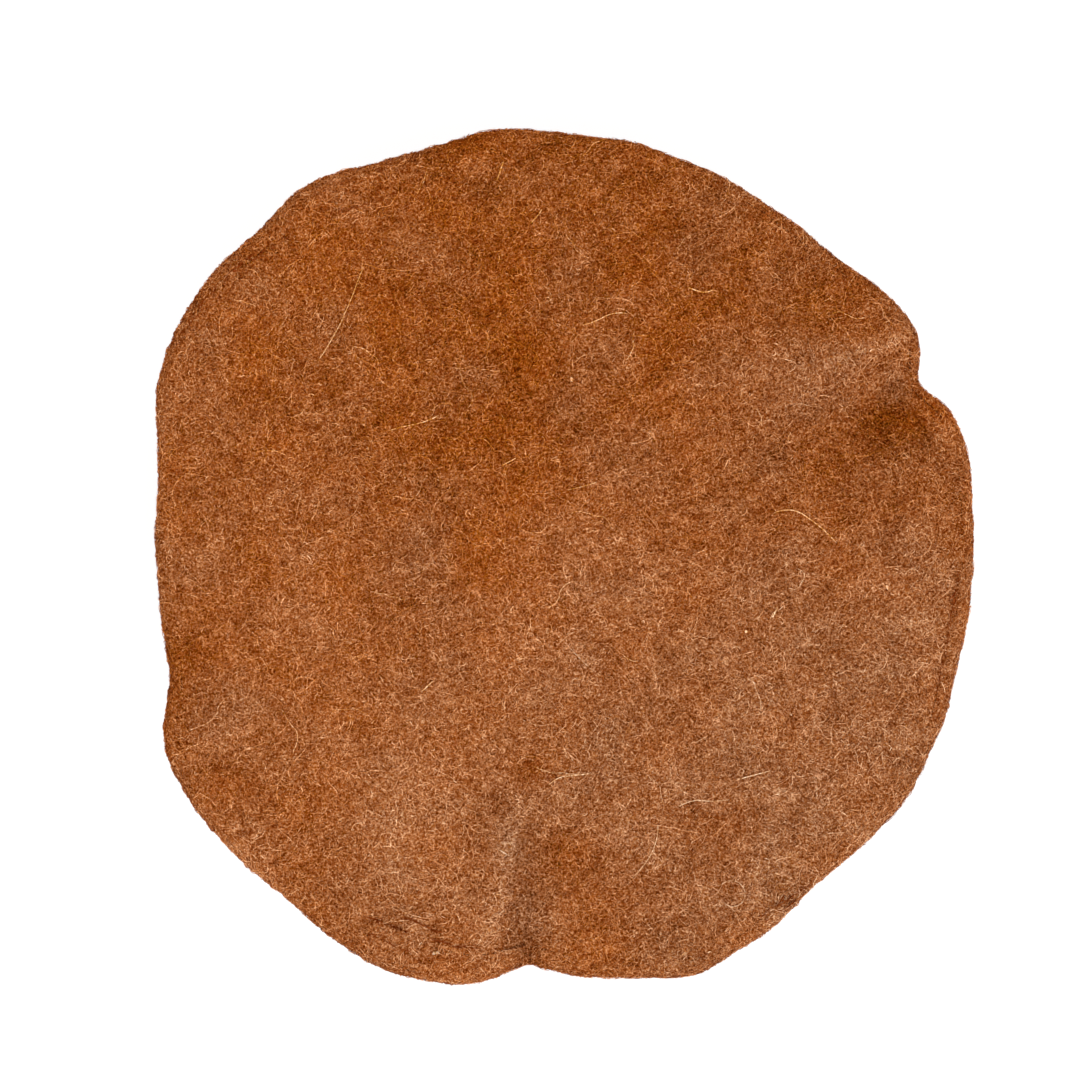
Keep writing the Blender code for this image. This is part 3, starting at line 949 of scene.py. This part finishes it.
def hair_material(settings):
    """Single wool hairs, each in its own tint from dark brown to pale tan."""
    found = bpy.data.materials.get("wool_hair")
    if found:
        return found
    material = new_material("wool_hair")
    tree = material.node_tree
    tint = add_node(tree, "ShaderNodeAttribute", {}, attribute_name="hair_tint").outputs["Fac"]
    colour = ramp(
        tree,
        tint,
        (0.0, settings.hair_dark),
        (0.45, settings.hair_brown),
        (0.85, settings.hair_light),
        (0.980, settings.hair_pale),
        (0.990, settings.fluff),
    )
    roughness = maths(tree, "MULTIPLY_ADD", tint, -0.15, 0.75)
    wool_shader(tree, toned(tree, colour), roughness)
    return material


def stage_material(name, colour, glow):
    material = new_material(name)
    shader = material.node_tree.nodes["Principled BSDF"]
    shader.inputs["Base Color"].default_value = (*colour, 1.0)
    shader.inputs["Roughness"].default_value = 0.9
    shader.inputs["Specular IOR Level"].default_value = 0.0
    shader.inputs["Emission Color"].default_value = (1.0, 1.0, 1.0, 1.0)
    shader.inputs["Emission Strength"].default_value = glow
    return material


# Add-on

def colour_property(name, description, default):
    return bpy.props.FloatVectorProperty(
        name=name, description=description, default=default, subtype="COLOR", size=3, min=0.0, max=1.0
    )


def length_property(name, description, default):
    return bpy.props.FloatProperty(
        name=name, description=description, default=default, min=0.0, unit="LENGTH"
    )


def factor_property(name, description, default):
    return bpy.props.FloatProperty(
        name=name, description=description, default=default, min=0.0, subtype="FACTOR"
    )


def stage_property(name, description, default, unit="NONE"):
    return bpy.props.FloatProperty(name=name, description=description, default=default, unit=unit)


class PakolSettings(bpy.types.PropertyGroup):
    """Sizes and colours of the cap and its stage."""

    felt_dark: colour_property("Dark felt", "Felt in the gaps between the hairs", (0.145, 0.024, 0.002))
    felt_light: colour_property("Light felt", "Felt just under the hairs", (0.340, 0.092, 0.0175))
    hair_dark: colour_property("Dark hair", "Darkest wool hairs", (0.140, 0.014, 0.0002))
    hair_brown: colour_property("Brown hair", "Most wool hairs", (0.392, 0.106, 0.0203))
    hair_light: colour_property("Light hair", "Light wool hairs", (0.71, 0.305, 0.118))
    hair_pale: colour_property("Pale hair", "The few palest hairs", (0.82, 0.46, 0.21))
    fluff: colour_property("Fluff", "The pale bits", (0.56, 0.32, 0.17))
    lump_depth: length_property("Lump depth", "How far small lumps raise the felt", 0.00010)
    rim_depth: length_property("Rim depth", "How far small bumps raise the widest part of the rim", 0.00016)
    swell_depth: length_property("Swell depth", "How far soft waves raise the felt", 0.00030)
    hair_thickness: factor_property("Hair thickness", "Thickens or thins every hair", 1.0)
    hair_density: factor_property("Hair density", "Share of the hairs that are laid", 1.0)
    key_power: stage_property("Key light", "Power of the main light", 60.0, unit="POWER")
    sky: stage_property("Sky", "Strength of the light from all round", 0.97)
    floor_glow: stage_property("Floor glow", "Light that the floor gives", 0.76)
    camera_lens: stage_property("Lens", "Focal length in millimetres", 85.0, unit="CAMERA")


class PAKOL_OT_crown(bpy.types.Operator):
    """Build the round of felt on top."""

    bl_idname = "pakol.crown"
    bl_label = "Crown"

    def execute(self, context):
        settings = context.scene.pakol
        grid, _ = crown_skin(CROWN_COLUMNS, CROWN_ROWS, settings)
        crown = felt_sheet("crown_felt", grid[:, 1:], False, grid[:1, 0], felt_material(settings))
        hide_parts("crown")
        return {"FINISHED"}


class PAKOL_OT_side_band(bpy.types.Operator):
    """Build the tube of felt round the crown, rolled up into the brim."""

    bl_idname = "pakol.side_band"
    bl_label = "Side band"

    def execute(self, context):
        settings = context.scene.pakol
        grid, _ = band_skin(BAND_COLUMNS, settings)
        band = felt_sheet("band_felt", grid, True, np.zeros((0, 3)), felt_material(settings))
        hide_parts("side_band")
        return {"FINISHED"}


class PAKOL_OT_top_hairs(bpy.types.Operator):
    """Lay the fine grain and the thin curly hairs on the crown and its shoulder."""

    bl_idname = "pakol.top_hairs"
    bl_label = "Top hairs"

    def execute(self, context):
        settings = context.scene.pakol
        skin = top_skin(settings)
        for layer in TOP_LAYERS:
            rng = np.random.default_rng(layer.seed)
            count = round(layer.count * settings.hair_density)
            starts = flat_round(rng, count, layer.nearest, layer.farthest)
            paths = curly_paths(rng, starts, layer)
            lay_hairs(layer, skin, top_places, paths, rng, settings)
        return {"FINISHED"}


class PAKOL_OT_brim_hairs(bpy.types.Operator):
    """Lay the fine grain and the thin curly hairs on the brim."""

    bl_idname = "pakol.brim_hairs"
    bl_label = "Brim hairs"

    def execute(self, context):
        settings = context.scene.pakol
        skin = brim_skin(settings)
        round_brim = 2 * math.pi * BRIM_REACH
        for layer in BRIM_LAYERS:
            rng = np.random.default_rng(layer.seed)
            count = round(layer.count * settings.hair_density)
            starts = rng.uniform((0.0, layer.nearest), (round_brim, layer.farthest), (count, 2))
            paths = curly_paths(rng, starts, layer)
            lay_hairs(layer, skin, brim_places, paths, rng, settings)
        return {"FINISHED"}


class PAKOL_OT_stray_hairs(bpy.types.Operator):
    """Lay the longest, palest hairs, the specks and the dark hairs that paint shade along the creases."""

    bl_idname = "pakol.stray_hairs"
    bl_label = "Stray hairs"

    def execute(self, context):
        settings = context.scene.pakol
        skin = top_skin(settings)
        for layer, rows in ((STRAY_LAYER, STRAY_HAIRS), (SPECK_LAYER, SPECKS), (FLUFF_LAYER, FLUFF)):
            rng = np.random.default_rng(layer.seed)
            lay_hairs(layer, skin, top_places, placed_paths(rows, layer.bends), rng, settings)
        rng = np.random.default_rng(CREASE_SHADE_LAYER.seed)
        lay_hairs(CREASE_SHADE_LAYER, skin, top_places, crease_shade_paths(rng, CREASE_SHADE_LAYER), rng, settings)
        return {"FINISHED"}


class PAKOL_OT_stage(bpy.types.Operator):
    """Set the pale floor, the soft light and the camera straight above."""

    bl_idname = "pakol.stage"
    bl_label = "Stage"

    def execute(self, context):
        settings = context.scene.pakol
        scene = context.scene
        mesh = bpy.data.meshes.new("floor")
        half = FLOOR_HALF_WIDTH
        corners = [(-half, -half, 0.0), (half, -half, 0.0), (half, half, 0.0), (-half, half, 0.0)]
        mesh.from_pydata(corners, [], [(0, 1, 2, 3)])
        mesh.materials.append(stage_material("white_floor", (FLOOR_GREY,) * 3, settings.floor_glow))
        floor = bpy.data.objects.new("floor", mesh)
        floor.location.z = -FLOOR_DROP
        scene.collection.objects.link(floor)

        world = bpy.data.worlds.new("studio")
        world.use_nodes = True
        world.node_tree.nodes["Background"].inputs["Color"].default_value = (1.0, 1.0, 1.0, 1.0)
        world.node_tree.nodes["Background"].inputs["Strength"].default_value = settings.sky
        scene.world = world

        lamp = bpy.data.lights.new("key", "AREA")
        lamp.energy = settings.key_power
        lamp.size = KEY_SIZE
        key = bpy.data.objects.new("key", lamp)
        tilt = math.radians(KEY_HEIGHT)
        key.location = on_circle(np.array(KEY_BEARING), math.cos(tilt), math.sin(tilt)) * KEY_DISTANCE
        key.rotation_euler = (math.pi / 2 - tilt, 0.0, math.radians(KEY_BEARING + 90.0))
        scene.collection.objects.link(key)

        lens = bpy.data.cameras.new("camera")
        lens.lens = settings.camera_lens
        lens.sensor_width = SENSOR_WIDTH
        camera = bpy.data.objects.new("camera", lens)
        distance = FRAME_WIDTH * settings.camera_lens / SENSOR_WIDTH
        camera.location = (*FRAME_MIDDLE, EDGE_LEVEL + distance)
        scene.collection.objects.link(camera)
        scene.camera = camera
        scene.view_settings.view_transform = "Standard"
        return {"FINISHED"}


class PAKOL_PT_panel(bpy.types.Panel):
    """The cap's pieces and its stage."""

    bl_idname = "PAKOL_PT_panel"
    bl_label = "Pakol"
    bl_space_type = "VIEW_3D"
    bl_region_type = "UI"
    bl_category = "Pakol"

    def draw(self, context):
        for operator in OPERATORS:
            self.layout.operator(operator.bl_idname)
        for name in PakolSettings.__annotations__:
            self.layout.prop(context.scene.pakol, name)


OPERATORS = (
    PAKOL_OT_crown,
    PAKOL_OT_side_band,
    PAKOL_OT_top_hairs,
    PAKOL_OT_brim_hairs,
    PAKOL_OT_stray_hairs,
    PAKOL_OT_stage,
)


def register():
    for made in (PakolSettings, *OPERATORS, PAKOL_PT_panel):
        bpy.utils.register_class(made)
    bpy.types.Scene.pakol = bpy.props.PointerProperty(type=PakolSettings)


def unregister():
    del bpy.types.Scene.pakol
    for made in (PAKOL_PT_panel, *reversed(OPERATORS), PakolSettings):
        bpy.utils.unregister_class(made)


def main():
    register()
    bpy.ops.pakol.crown()
    bpy.ops.pakol.side_band()
    bpy.ops.pakol.top_hairs()
    bpy.ops.pakol.brim_hairs()
    bpy.ops.pakol.stray_hairs()
    bpy.ops.pakol.stage()


if __name__ == "__main__":
    main()
